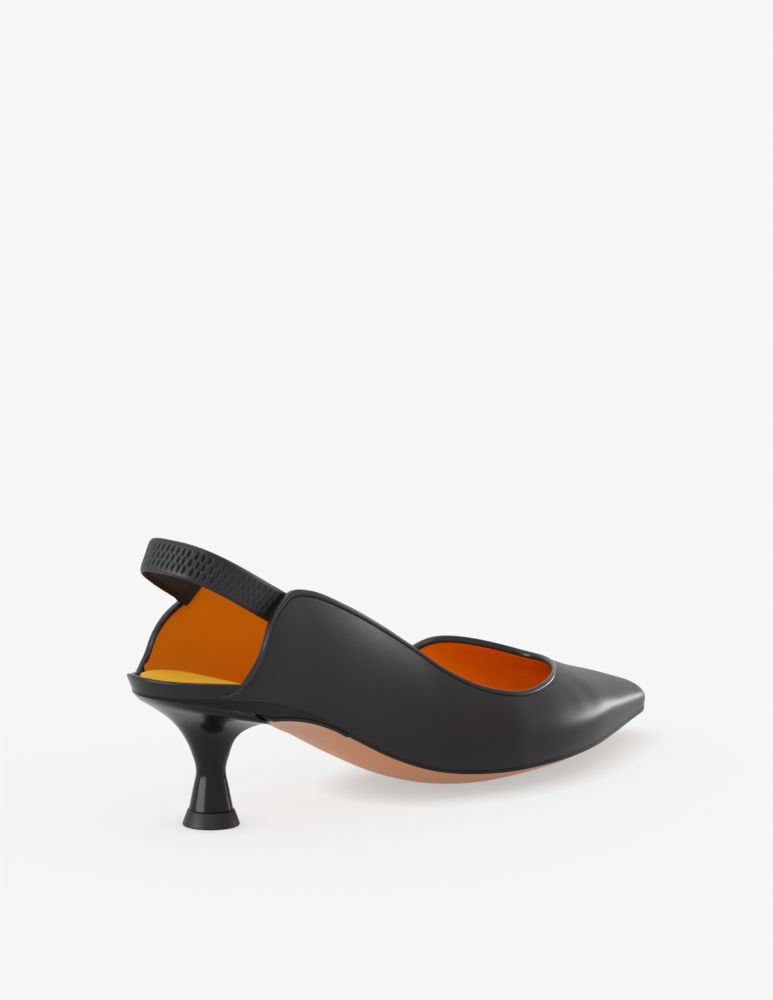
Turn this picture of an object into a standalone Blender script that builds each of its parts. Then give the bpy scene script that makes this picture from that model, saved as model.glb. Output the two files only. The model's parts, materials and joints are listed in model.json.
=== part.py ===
"""A slingback pump for the right foot: pointed toe, kitten heel and a ruched elastic heel strap.

Metres. The origin is the centre of the heel tip's resting face, +X points to the toe, +Y to the
inner side of the foot and +Z up.
"""

import math

import bpy
import numpy as np

# Driving sizes of the last
LENGTH = 0.248
SEAT_BACK = 0.031
LATERAL_BALL = 0.0365
MEDIAL_BALL = 0.036
BALL_LIFT = 0.0092
SEAT_RISE = 0.0415
TOE_SPRING = 0.0024
TOE_SWING = 0.008
INSTEP = 0.070
LEAN = 0.009
OVERHANG = 0.002
BELLY = 0.009
CAMBER = 0.0045
HEEL_ROUND = 0.0285
TOE_ROUND = 0.0125
TOE_BLUNT = 0.0014
LATERAL_POWER = 2.2
MEDIAL_POWER = 2.5
TURN_SPREAD = 0.06
TIP_TURN = 0.95

# Driving sizes of the pieces
GAP = 0.0003
WALL = 0.0018
BINDING_WIDTH = 0.0022
BINDING_PROUD = 0.0005
SOLE_EDGE = 0.0012
SOLE_BELLY = 0.0090
BREAST = 0.0057
NOSE_START = 0.95
NOSE_GAP = 0.0005
LIP = 0.0050
LIP_LENGTH = 0.034
LIP_RAMP = 0.034
SEAT_EDGE = 0.0010
SEAT_DRAW = 0.0016
INSOLE = 0.0018
SEAT_PAD = 0.0054
RIM_HEIGHT = 0.0060
RIM_WALL = 0.0022
RIM_FLARE = 0.0018
RIM_REACH = 0.0198
SEAT_CENTRE = -0.0062
STEM_DRAW = 0.99
HEEL_WAIST = 0.0052
HEEL_FOOT = 0.0077
TIP_HEIGHT = 0.0056
TIP_RADIUS = 0.0100
TIP_TAPER = 0.0018
STRAP_HEIGHT = 0.0122
STRAP_THICKNESS = 0.0022
STRAP_BACK = 0.0247
STRAP_BACK_LIFT = 0.0483
STRAP_SLOPE = 0.565
STRAP_LEAN = 0.44
STRAP_SWAY = -0.0040
STRAP_BEND = 0.0065
STRAP_START = 0.0110
STRAP_TUCK = 0.0120
STRAP_CLEAR = 0.0006
STRAP_TOP = 0.38
STRAP_FULLNESS = 0.70

# Half widths are shares of the two ball widths, swing of TOE_SWING, seat of SEAT_RISE,
# spring of TOE_SPRING, ridge of INSTEP, lean of LEAN, camber of CAMBER and belly of SOLE_BELLY.
LAST_COLUMNS = ("share", "lateral", "medial", "swing", "seat", "spring", "ridge", "lean", "camber", "belly")
LAST_TABLE = (
    (0.00, 0.690, 0.68, 0.00, 0.990, 0.00, 1.000, 0.00, 0.00, 0.20),
    (0.06, 0.700, 0.69, 0.00, 0.975, 0.00, 1.000, 0.00, 0.00, 0.22),
    (0.15, 0.710, 0.68, 0.00, 0.890, 0.00, 1.000, 0.00, 0.00, 0.28),
    (0.22, 0.700, 0.63, 0.00, 0.745, 0.00, 1.000, 0.00, 0.00, 0.33),
    (0.30, 0.700, 0.57, 0.00, 0.485, 0.00, 0.970, 0.05, 0.00, 0.38),
    (0.38, 0.720, 0.56, 0.00, 0.240, 0.00, 0.880, 0.20, 0.30, 0.45),
    (0.45, 0.785, 0.63, 0.01, 0.085, 0.00, 0.780, 0.40, 0.60, 0.62),
    (0.52, 0.890, 0.77, 0.03, 0.015, 0.00, 0.690, 0.60, 0.85, 0.86),
    (0.60, 0.985, 0.93, 0.08, 0.000, 0.00, 0.600, 0.80, 1.00, 1.00),
    (0.68, 0.975, 1.00, 0.22, 0.000, 0.15, 0.520, 1.00, 1.00, 1.00),
    (0.76, 0.870, 0.95, 0.42, 0.000, 0.40, 0.410, 1.00, 0.85, 0.86),
    (0.84, 0.655, 0.76, 0.65, 0.000, 0.65, 0.290, 0.75, 0.55, 0.60),
    (0.91, 0.430, 0.53, 0.82, 0.000, 0.85, 0.207, 0.45, 0.30, 0.36),
    (0.96, 0.275, 0.36, 0.94, 0.000, 0.95, 0.145, 0.20, 0.12, 0.20),
    (1.00, 0.180, 0.24, 1.00, 0.000, 1.00, 0.105, 0.00, 0.00, 0.08),
)

# The upper's edge from the back foot of a quarter to the throat. around is 0 at the feather line
# and 1 at the ridge, and foot is the share of the length that the edge's cross line runs down to.
EDGE_COLUMNS = ("share", "around", "foot")
LATERAL_EDGE = (
    (0.083, 0.065, 0.086),
    (0.096, 0.135, 0.099),
    (0.121, 0.204, 0.124),
    (0.133, 0.263, 0.138),
    (0.150, 0.338, 0.156),
    (0.170, 0.385, 0.176),
    (0.187, 0.424, 0.198),
    (0.222, 0.450, 0.236),
    (0.298, 0.490, 0.312),
    (0.380, 0.535, 0.396),
    (0.430, 0.540, 0.448),
    (0.480, 0.490, 0.500),
    (0.540, 0.437, 0.564),
    (0.600, 0.420, 0.628),
    (0.655, 0.460, 0.696),
    (0.706, 0.552, 0.772),
    (0.748, 0.680, 0.860),
    (0.775, 0.820, 0.932),
    (0.786, 0.925, 0.976),
    (0.788, 1.000, 1.000),
)
MEDIAL_EDGE = (
    (0.083, 0.080, 0.086),
    (0.091, 0.122, 0.095),
    (0.104, 0.165, 0.108),
    (0.118, 0.205, 0.124),
    (0.136, 0.245, 0.144),
    (0.159, 0.286, 0.167),
    (0.175, 0.324, 0.185),
    (0.192, 0.377, 0.204),
    (0.226, 0.412, 0.240),
    (0.298, 0.428, 0.312),
    (0.380, 0.423, 0.396),
    (0.460, 0.402, 0.480),
    (0.540, 0.400, 0.566),
    (0.600, 0.418, 0.640),
    (0.640, 0.530, 0.690),
    (0.678, 0.712, 0.750),
    (0.722, 0.835, 0.820),
    (0.755, 0.915, 0.895),
    (0.780, 0.975, 0.965),
    (0.788, 1.000, 1.000),
)

# Heights are shares of the seat's height over the floor, back of SEAT_BACK, front and bow of
# BREAST, and half of the seat's half width. A ring is widest at front and bows forward from there.
# Columns: back_height, front_height, back, front, bow, half.
HEEL_TABLE = (
    (0.925, 0.772, 0.845, 0.91, 0.05, 0.955),
    (0.850, 0.752, 0.665, 0.87, 0.09, 0.785),
    (0.776, 0.710, 0.510, 0.74, 0.22, 0.590),
    (0.700, 0.655, 0.400, 0.53, 0.56, 0.435),
    (0.612, 0.582, 0.306, 0.26, 0.92, 0.320),
    (0.513, 0.501, 0.226, 0.09, 1.00, 0.256),
)


def table_value(table, columns, name, key):
    """Smooth value of a table's named column where its first column has this value."""
    rows = np.array(table)
    x = rows[:, 0]
    y = rows[:, columns.index(name)]
    slope = np.diff(y) / np.diff(x)
    tangent = np.concatenate([slope[:1], (slope[:-1] + slope[1:]) / 2, slope[-1:]])
    turning = np.concatenate([[False], slope[:-1] * slope[1:] <= 0, [False]])
    tangent[turning] = 0
    i = np.clip(np.searchsorted(x, key) - 1, 0, len(x) - 2)
    step = x[i + 1] - x[i]
    t = (key - x[i]) / step
    start = (1 + 2 * t) * (1 - t) ** 2 * y[i] + t * (1 - t) ** 2 * step * tangent[i]
    return start + t * t * (3 - 2 * t) * y[i + 1] + t * t * (t - 1) * step * tangent[i + 1]


def last_value(name, share):
    """Smooth value of a column of the last at shares of the length."""
    return table_value(LAST_TABLE, LAST_COLUMNS, name, np.asarray(share, float))


def round_off(distance, radius):
    """Share of the full width at a distance from a round end."""
    return np.sqrt(np.clip(1 - np.clip(1 - distance / radius, 0, 1) ** 2, 0, 1))


def feather_height(share):
    """Height of the line where upper and sole meet."""
    return BALL_LIFT + SEAT_RISE * last_value("seat", share) + TOE_SPRING * last_value("spring", share)


def half_width(share, side):
    """Half width of the feather line, lateral for side -1 and medial for side 1, before its round ends."""
    return np.where(side < 0, LATERAL_BALL * last_value("lateral", share), MEDIAL_BALL * last_value("medial", share))


def last_point(share, around, side):
    """Points of the upper's outer face, around from 0 at the feather line to 1 at the ridge."""
    share, around, side = np.broadcast_arrays(np.asarray(share, float), around, side)
    toe = round_off((1 - share) * LENGTH, TOE_ROUND)
    end = toe * round_off(share * LENGTH, HEEL_ROUND)
    nose = round_off((1 - share) * LENGTH + TOE_BLUNT, TOE_ROUND)
    ridge = INSTEP * last_value("ridge", share) * nose
    belly = np.minimum(BELLY, 0.4 * ridge)
    overhang = OVERHANG * np.minimum(1, ridge / (2 * BELLY))
    low = np.clip(around / 0.15, 0, 1)
    angle = np.clip((around - 0.15) / 0.85, 0, 1) * math.pi / 2
    power = 2 / np.where(side < 0, LATERAL_POWER, MEDIAL_POWER)
    bulge = overhang * (1 - (1 - low) ** 2)
    out = (half_width(share, side) + bulge) * end * np.cos(angle) ** power
    up = belly * low + (ridge - belly) * np.sin(angle) ** power
    centre = TOE_SWING * last_value("swing", share)
    lean = LEAN * last_value("lean", share) * np.sin(angle) ** 1.5
    return np.stack([share * LENGTH - SEAT_BACK, centre + lean + side * out, feather_height(share) + up], axis=-1)


def along(points):
    """Distance along a line of points, and the angle it has turned through in plan."""
    step = np.diff(points, axis=0)
    heading = np.unwrap(np.arctan2(step[:, 1], step[:, 0]))
    turned = np.concatenate([[0], np.cumsum(np.abs(np.diff(heading)))])
    distance = np.concatenate([[0], np.cumsum(np.linalg.norm(step, axis=1))])
    return distance, np.concatenate([[0], turned])


def smooth_path(rows, count, side):
    """Rows on a smooth curve through the given rows, closer together where the edge or the
    feather line turns."""
    rows = np.array(rows)
    step = np.linalg.norm(np.diff(rows[:, :2], axis=0) * (1.0, 0.35), axis=1)
    at = np.concatenate([[0], np.cumsum(step)]) / step.sum()
    keyed = np.column_stack([at, rows])
    names = ("at",) + EDGE_COLUMNS
    fine = [table_value(keyed, names, name, np.linspace(0, 1, 501)) for name in EDGE_COLUMNS]
    edge_length, edge_turn = along(last_point(fine[0], fine[1], side))
    foot_length, foot_turn = along(last_point(fine[2], 0.0, side))
    spread = edge_length + foot_length + TURN_SPREAD * (edge_turn + foot_turn)
    where = np.linspace(0, spread[-1], count)
    return np.column_stack([np.interp(where, spread, column) for column in fine])


def cross_line(edge_row, side, downs):
    """Points of the upper's outer face from its edge, at 0, down to the feather line, at 1."""
    share, around, foot = edge_row
    toeward = np.clip((foot - 0.70) / 0.30, 0, 1)
    hug = 1 + 7 * toeward ** 1.5
    reach = 1 - (1 - downs) ** (1 + 0.5 * toeward)
    fall = around * (1 - reach ** hug)
    if foot > 0.9999:
        fall = around * np.clip((1 - reach) / (1 - TIP_TURN), 0, 1)
        reach = np.minimum(reach / TIP_TURN, 1)
    return last_point(share + (foot - share) * reach, fall, side)


def edge_lines(count, rows, start, end):
    """Grid of the upper's outer face: a cross line for each step along its edge, from the lateral
    quarter's foot round the throat to the medial quarter's foot. start and end are lengths from
    the edge, and end None stands for the feather line."""
    grid = []
    lateral = smooth_path(LATERAL_EDGE, count, -1)
    medial = smooth_path(MEDIAL_EDGE, count, 1)[:-1][::-1]
    fine = np.linspace(0, 1, 161)
    for side, path in ((-1, lateral), (1, medial)):
        for edge_row in path:
            line = cross_line(edge_row, side, fine)
            length = np.concatenate([[0], np.cumsum(np.linalg.norm(np.diff(line, axis=0), axis=1))])
            last = length[-1] if end is None else end
            at = np.linspace(start, last, rows)
            grid.append(np.column_stack([np.interp(at, length, line[:, axis]) for axis in range(3)]))
    return np.array(grid)


def clear_scene():
    for item in list(bpy.data.objects):
        bpy.data.objects.remove(item, do_unlink=True)


def make_material(name, colour, roughness, metallic=0.0):
    material = bpy.data.materials.new(name)
    material.use_nodes = True
    shader = material.node_tree.nodes["Principled BSDF"]
    shader.inputs["Base Color"].default_value = (*colour, 1.0)
    shader.inputs["Roughness"].default_value = roughness
    shader.inputs["Metallic"].default_value = metallic
    return material


def make_object(name, points, faces, material, collection):
    """A mesh object of the given points and faces, with its normals made consistent."""
    mesh = bpy.data.meshes.new(name)
    mesh.from_pydata([tuple(p) for p in points], [], faces)
    mesh.validate()
    mesh.materials.append(material)
    item = bpy.data.objects.new(name, mesh)
    collection.objects.link(item)
    return item


def grid_faces(columns, rows, closed=False):
    """Quads of a grid whose points run row by row within each column."""
    faces = []
    for i in range(columns if closed else columns - 1):
        following = (i + 1) % columns
        for j in range(rows - 1):
            faces.append((i * rows + j, i * rows + j + 1, following * rows + j + 1, following * rows + j))
    return faces


def solidify(item, thickness):
    """Gives a surface its thickness, inwards from the face that its normals show."""
    modifier = item.modifiers.new("Wall", "SOLIDIFY")
    modifier.thickness = thickness
    modifier.offset = -1
    modifier.use_even_offset = False


def end_spaced(start, stop, count, start_round, stop_round):
    """Shares from start to stop, closer together at the ends that are round."""
    t = np.linspace(0, 1, count)
    eased = (1 - np.cos(t * math.pi)) / 2
    if not start_round:
        eased = np.sin(t * math.pi / 2)
    if not stop_round:
        eased = 1 - np.cos(t * math.pi / 2)
    return start + (stop - start) * (0.55 * eased + 0.45 * t)


def plate(name, shares, inset, top, bottom, material, collection, columns=9):
    """A closed slab on the feather line's plan. top and bottom give heights for a share and for
    the place across, from -1 lateral to 1 medial."""
    across = np.sin(np.linspace(-1, 1, columns) * math.pi / 2)
    middle = TOE_SWING * last_value("swing", shares)
    inset = inset + np.zeros_like(shares)
    lateral = plan_half(shares, -1, inset)
    medial = plan_half(shares, 1, inset)
    points = []
    for i, share in enumerate(shares):
        x = share * LENGTH - SEAT_BACK
        y = middle[i] + np.where(across < 0, across * lateral[i], across * medial[i])
        upper = [(x, y[k], top(share, across[k])) for k in range(columns)]
        lower = [(x, y[k], bottom(share, across[k])) for k in reversed(range(columns))]
        points += upper + lower
    ring = 2 * columns
    faces = []
    for i in range(len(shares) - 1):
        for j in range(ring):
            following = (j + 1) % ring
            faces.append((i * ring + j, (i + 1) * ring + j, (i + 1) * ring + following, i * ring + following))
    last = (len(shares) - 1) * ring
    for k in range(columns - 1):
        faces.append((k, k + 1, ring - 2 - k, ring - 1 - k))
        faces.append((last + k, last + ring - 1 - k, last + ring - 2 - k, last + k + 1))
    return make_object(name, points, faces, material, collection)


def plan_half(share, side, inset):
    """Half width of the feather line's plan drawn in by an inset, with its round ends."""
    share = np.asarray(share, float)
    back = round_off(share * LENGTH - inset, HEEL_ROUND)
    front = round_off((1 - share) * LENGTH - inset, TOE_ROUND)
    return np.maximum((half_width(share, side) - inset) * back * front, 0.0006)


def camber_drop(share, across):
    """How far the last's bottom sags below the feather line across the foot."""
    return CAMBER * last_value("camber", share) * (1 - across ** 2)


def lip_depth(share):
    """Depth of the heel's lip: thin at the back of the seat, deep at the breast and thinning out
    again along the shank."""
    ahead = share * LENGTH - SEAT_BACK - BREAST
    seat = SEAT_EDGE + (LIP - SEAT_EDGE) * np.clip(1 + ahead / LIP_RAMP, 0, 1)
    shank = LIP * np.clip(1 - ahead / LIP_LENGTH, 0, 1) ** 1.2
    return np.where(ahead < 0, seat, np.maximum(shank, SOLE_EDGE / 4))


def seat_draw(share):
    """How far the seat's edge stands in from the feather line's plan round the back."""
    return SEAT_DRAW * np.clip(1 - (share * LENGTH / RIM_REACH) ** 2, 0, 1)


def lip_shares():
    """Stations that the lip and the sole under it have in common."""
    start = (SEAT_BACK + BREAST + GAP) / LENGTH
    return np.linspace(start, start + LIP_LENGTH / LENGTH, 9)


def sole_top(share, across):
    under_lip = GAP + lip_depth(share) if share < lip_shares()[-1] + GAP / LENGTH else 0.0
    under_nose = NOSE_GAP * np.clip((share - NOSE_START) / (1 - NOSE_START), 0, 1)
    return feather_height(share) - GAP - under_lip - under_nose - camber_drop(share, across)


def sole_bottom(share, across):
    belly = SOLE_BELLY * last_value("belly", share) * (1 - across ** 2)
    camber = camber_drop(share, across)
    lowest = sole_top(share, across) + camber - SOLE_EDGE - np.maximum(belly, camber)
    return max(float(lowest), 0.0)


def make_outsole(material, collection):
    front = end_spaced(lip_shares()[-1], 1 - 0.0004 / LENGTH, 34, False, True)
    shares = np.concatenate([lip_shares()[:-1], front])
    return plate("outsole", shares, 0.0, sole_top, sole_bottom, material, collection, 11)


def insole_thickness(share):
    blend = np.clip((share - 0.12) / 0.22, 0, 1)
    return SEAT_PAD + (INSOLE - SEAT_PAD) * blend * blend * (3 - 2 * blend)


def make_insole(material, collection):
    inset = max(WALL, RIM_WALL) + GAP * 1.5
    start = (inset + SEAT_DRAW + GAP) / LENGTH
    shares = end_spaced(start, 1 - (inset + INSOLE) / LENGTH, 34, True, True)
    bottom = lambda share, across: feather_height(share) - camber_drop(share, across)
    top = lambda share, across: bottom(share, across) + insole_thickness(share)
    return plate("insole", shares, inset + seat_draw(shares), top, bottom, material, collection, 9)


def make_upper(material, collection):
    start = BINDING_WIDTH + GAP
    grid = edge_lines(61, 11, start, None)
    columns, rows, _ = grid.shape
    item = make_object("upper", grid.reshape(-1, 3), grid_faces(columns, rows), material, collection)
    solidify(item, WALL)
    return item


def make_binding(material, collection):
    grid = edge_lines(61, 4, 0.0, BINDING_WIDTH)
    columns, rows, _ = grid.shape
    item = make_object("binding", grid.reshape(-1, 3), grid_faces(columns, rows), material, collection)
    modifier = item.modifiers.new("Wall", "SOLIDIFY")
    modifier.thickness = WALL + BINDING_PROUD
    modifier.offset = -1 + 2 * BINDING_PROUD / (WALL + BINDING_PROUD)
    modifier.use_even_offset = False
    return item


def make_seat_rim(material, collection):
    end = RIM_REACH / LENGTH
    reach = np.sin(np.linspace(0, 1, 17) * math.pi / 2)
    shares = end * (1 - reach[:-1])
    path = [(share, -1) for share in shares] + [(0.0, 1)] + [(share, 1) for share in shares[::-1]]
    heights = np.linspace(0, 1, 5)
    points = []
    for share, side in path:
        foot = last_point(share, 0.0, side)
        fade = 1 - (share / end) ** 2
        for height in heights:
            around = 0.15 * height * RIM_HEIGHT / BELLY
            point = last_point(share, around, side)
            out = point[:2] - (SEAT_CENTRE, 0.0)
            out = out / np.linalg.norm(out)
            point[:2] += out * (RIM_FLARE * height * fade - seat_draw(share))
            point[2] = foot[2] + RIM_HEIGHT * height
            points.append(point)
    item = make_object("seat_rim", points, grid_faces(len(path), len(heights)), material, collection)
    solidify(item, RIM_WALL)
    return item


def lip_bottom(share, across):
    return feather_height(share) - GAP - lip_depth(share)


def make_lip(material, collection):
    """The heel's top: the seat's plan and, ahead of the breast, a lip that thins out on the shank."""
    seat = end_spaced((SEAT_DRAW + GAP) / LENGTH, lip_shares()[0], 20, True, False)
    shares = np.concatenate([seat[:-1], lip_shares()])
    top = lambda share, across: feather_height(share) - GAP
    return plate("heel", shares, seat_draw(shares), top, lip_bottom, material, collection, 7)


def stem_top_ring(count, depth_share):
    """The seat's plan behind the breast, drawn in so that it stays inside the lip's side."""
    front_share = (SEAT_BACK + BREAST) / LENGTH
    t = np.linspace(0, 1, count // 2 + 1)
    shares = front_share * (1 + np.cos(t * math.pi)) / 2
    lateral = [(share, -1) for share in shares]
    medial = [(share, 1) for share in shares[::-1][1:]]
    ring = []
    for share, side in lateral + medial:
        x, y, z = last_point(share, 0.0, side)
        reach = 1 - seat_draw(share) / HEEL_ROUND
        x, y = SEAT_CENTRE + (x - SEAT_CENTRE) * reach, y * reach
        drop = GAP + lip_depth(share) * depth_share
        ring.append((x * STEM_DRAW + (1 - STEM_DRAW) * BREAST, y * STEM_DRAW, z - drop))
    return ring


def heel_section(sizes, count):
    """A ring of the heel's stem, its back and front at their own heights."""
    back_height, front_height, back, front, bow, half = sizes
    ring = []
    for t in np.linspace(0, 2 * math.pi, count + 2)[1:-1]:
        cosine = math.cos(t)
        x = front + cosine * (bow if cosine > 0 else front + back)
        blend = (x + back) / (front + bow + back)
        ring.append((x, -half * math.sin(t), back_height + (front_height - back_height) * blend))
    return ring


def make_stem(material, collection):
    """The heel's hourglass stem from inside its lip down to the tip."""
    count = 40
    breast_share = (SEAT_BACK + BREAST) / LENGTH
    seat_height = float(feather_height(0.0))
    seat_half = LATERAL_BALL * float(last_value("lateral", breast_share))
    rings = [stem_top_ring(count, 0.6), stem_top_ring(count, 1.0)]
    size = len(rings[0])
    for row in HEEL_TABLE:
        scale = (seat_height, seat_height, SEAT_BACK, BREAST, BREAST, seat_half)
        rings.append(heel_section([share * whole for share, whole in zip(row, scale)], size))
    between = HEEL_WAIST + (HEEL_FOOT - HEEL_WAIST) * 0.45
    stem = ((0.385 * seat_height, HEEL_WAIST), (0.255 * seat_height, between), (TIP_HEIGHT + GAP, HEEL_FOOT))
    for height, radius in stem:
        rings.append(heel_section((height, height, radius, 0.0, radius, radius), size))
    points = np.array(rings).reshape(-1, 3)
    faces = []
    for i in range(len(rings) - 1):
        for j in range(size):
            following = (j + 1) % size
            faces.append((i * size + j, i * size + following, (i + 1) * size + following, (i + 1) * size + j))
    low = (len(rings) - 1) * size
    for j in range(size // 2 - 1):
        faces.append((j, size - 1 - j, size - 2 - j, j + 1))
        faces.append((low + j, low + j + 1, low + size - 2 - j, low + size - 1 - j))
    tail = size // 2
    faces.append((tail - 1, tail + 1, tail))
    faces.append((low + tail - 1, low + tail, low + tail + 1))
    return make_object("heel_stem_form", points, faces, material, collection)


def make_heel(material, collection, forms):
    stem = make_stem(material, forms)
    heel = make_lip(material, collection)
    modifier = heel.modifiers.new("Stem", "BOOLEAN")
    modifier.operation = "UNION"
    modifier.solver = "EXACT"
    modifier.object = stem
    return heel


def make_heel_tip(material, collection):
    radius_top = TIP_RADIUS - TIP_TAPER
    profile = ((0, 0, 0), (TIP_RADIUS - 0.0004, 0, 0), (TIP_RADIUS, 0, 0.0004),
               (radius_top, 0, TIP_HEIGHT - 0.0004), (radius_top - 0.0004, 0, TIP_HEIGHT), (0, 0, TIP_HEIGHT))
    mesh = bpy.data.meshes.new("heel_tip")
    mesh.from_pydata(profile, [(i, i + 1) for i in range(len(profile) - 1)], [])
    mesh.materials.append(material)
    item = bpy.data.objects.new("heel_tip", mesh)
    collection.objects.link(item)
    modifier = item.modifiers.new("Turn", "SCREW")
    modifier.steps = 40
    modifier.render_steps = 40
    modifier.use_merge_vertices = True
    modifier.merge_threshold = 0.00005
    modifier.use_normal_calculate = True
    return item


def strap_height(x):
    """Height of the strap's middle line, which falls from the back of the heel to the quarters."""
    return feather_height(0.0) + STRAP_BACK_LIFT - STRAP_SLOPE * (x + STRAP_BACK)


def strap_span(side):
    """Distance from the middle plane to the strap's outer face, clear of a quarter's inner face."""
    x = np.linspace(STRAP_START, STRAP_START + STRAP_TUCK, 7)[:, None]
    points = last_point((x + SEAT_BACK) / LENGTH, np.linspace(0.15, STRAP_TOP, 24), side)
    beside = np.abs(points[..., 2] - strap_height(x)) < STRAP_HEIGHT * 0.6
    return float((points[..., 1] * side)[beside].min()) - WALL - STRAP_CLEAR


def strap_path(count):
    """Plan points of the strap's outer face from its lateral end round the heel to its medial end."""
    ends = np.linspace(STRAP_START + STRAP_TUCK, STRAP_BEND, 7)[:-1]
    points = [(x, -strap_span(-1)) for x in ends]
    for t in np.linspace(0, math.pi, count):
        cosine = math.cos(t)
        span = strap_span(-1 if cosine > 0 else 1)
        x = STRAP_BEND - (STRAP_BEND + STRAP_BACK) * math.sin(t) ** STRAP_FULLNESS
        y = STRAP_SWAY * math.sin(t) - span * math.copysign(abs(cosine) ** STRAP_FULLNESS, cosine)
        points.append((x, y))
    points += [(x, strap_span(1)) for x in ends[::-1]]
    return np.array(points)


def make_sling_strap(material, collection):
    """A band that leans forward, so that its lower edge stands further back than its top."""
    path = strap_path(33)
    points = []
    for x, y in path:
        for height in np.linspace(-0.5, 0.5, 4) * STRAP_HEIGHT:
            middle = strap_height(x)
            points.append((x + height * math.sin(STRAP_LEAN), y, middle + height * math.cos(STRAP_LEAN)))
    item = make_object("sling_strap", points, grid_faces(len(path), 4), material, collection)
    solidify(item, STRAP_THICKNESS)
    return item


def main():
    clear_scene()
    shoe = bpy.data.collections.new("slingback_pump")
    bpy.context.scene.collection.children.link(shoe)
    forms = bpy.data.collections.new("joining_forms")
    forms.hide_render = True
    bpy.context.scene.collection.children.link(forms)
    nappa = make_material("black_nappa", (0.018, 0.017, 0.018), 0.45)
    edge = make_material("black_binding", (0.014, 0.013, 0.014), 0.40)
    gloss = make_material("black_gloss", (0.010, 0.010, 0.010), 0.15)
    rubber = make_material("black_rubber", (0.020, 0.020, 0.020), 0.60)
    tan = make_material("tan_leather", (0.55, 0.32, 0.19), 0.50)
    sock = make_material("amber_leather", (0.80, 0.34, 0.02), 0.55)
    rim = make_material("black_wrap", (0.016, 0.015, 0.016), 0.30)
    elastic = make_material("black_ruched", (0.015, 0.014, 0.015), 0.55)
    make_outsole(tan, shoe)
    make_heel(gloss, shoe, forms)
    make_heel_tip(rubber, shoe)
    make_insole(sock, shoe)
    make_seat_rim(rim, shoe)
    make_upper(nappa, shoe)
    make_binding(edge, shoe)
    make_sling_strap(elastic, shoe)
    for form in forms.objects:
        form.hide_render = True
        form.display_type = "WIRE"


main()
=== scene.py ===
"""The slingback pump as photographed: fine leather, lining, binding, ruched strap, heel and sole on
a pale floor. Metres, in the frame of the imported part."""

import json
import math

import bpy
import numpy as np
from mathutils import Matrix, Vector

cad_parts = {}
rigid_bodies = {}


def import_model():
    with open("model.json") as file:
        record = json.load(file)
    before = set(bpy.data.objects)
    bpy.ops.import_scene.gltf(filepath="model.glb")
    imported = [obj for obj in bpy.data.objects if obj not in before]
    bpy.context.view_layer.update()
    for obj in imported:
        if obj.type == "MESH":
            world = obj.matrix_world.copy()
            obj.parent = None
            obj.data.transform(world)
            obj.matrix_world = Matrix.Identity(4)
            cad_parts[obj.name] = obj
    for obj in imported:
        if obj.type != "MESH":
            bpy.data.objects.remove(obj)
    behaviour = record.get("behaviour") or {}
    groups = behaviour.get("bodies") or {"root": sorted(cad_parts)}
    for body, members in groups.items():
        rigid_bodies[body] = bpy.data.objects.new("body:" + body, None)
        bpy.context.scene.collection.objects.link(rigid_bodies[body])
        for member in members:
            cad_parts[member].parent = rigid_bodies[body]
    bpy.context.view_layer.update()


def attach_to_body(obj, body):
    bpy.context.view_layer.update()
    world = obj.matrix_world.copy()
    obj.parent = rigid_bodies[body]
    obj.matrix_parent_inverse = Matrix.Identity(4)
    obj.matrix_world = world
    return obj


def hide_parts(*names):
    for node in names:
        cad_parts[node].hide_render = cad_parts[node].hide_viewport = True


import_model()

# Driving sizes of the last
LENGTH = 0.248
SEAT_BACK = 0.031
LATERAL_BALL = 0.0365
MEDIAL_BALL = 0.036
BALL_LIFT = 0.0092
SEAT_RISE = 0.0415
TOE_SPRING = 0.0024
TOE_SWING = 0.008
INSTEP = 0.070
LEAN = 0.009
OVERHANG = 0.002
BELLY = 0.009
CAMBER = 0.0045
HEEL_ROUND = 0.0285
TOE_ROUND = 0.0125
TOE_BLUNT = 0.0014
LATERAL_POWER = 2.2
MEDIAL_POWER = 2.5
TURN_SPREAD = 0.06
TIP_TURN = 0.95

# Driving sizes of the pieces
GAP = 0.0003
WALL = 0.0018
SOLE_EDGE = 0.0012
SOLE_BELLY = 0.0090
BREAST = 0.0057
NOSE_START = 0.95
NOSE_GAP = 0.0005
LIP = 0.0050
LIP_LENGTH = 0.034
LIP_RAMP = 0.034
SEAT_EDGE = 0.0010
SEAT_DRAW = 0.0016
INSOLE = 0.0018
SEAT_PAD = 0.0054
RIM_HEIGHT = 0.0060
RIM_WALL = 0.0022
RIM_FLARE = 0.0018
RIM_REACH = 0.0198
SEAT_CENTRE = -0.0062
STEM_DRAW = 0.99
HEEL_WAIST = 0.0052
HEEL_FOOT = 0.0077
TIP_HEIGHT = 0.0056
TIP_RADIUS = 0.0100
TIP_TAPER = 0.0018
STRAP_HEIGHT = 0.0122
STRAP_THICKNESS = 0.0022
STRAP_BACK = 0.0247
STRAP_BACK_LIFT = 0.0483
STRAP_SLOPE = 0.565
STRAP_LEAN = 0.44
STRAP_SWAY = -0.0040
STRAP_BEND = 0.0065
STRAP_START = 0.0110
STRAP_TUCK = 0.0120
STRAP_CLEAR = 0.0006
STRAP_TOP = 0.38
STRAP_FULLNESS = 0.70

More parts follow.
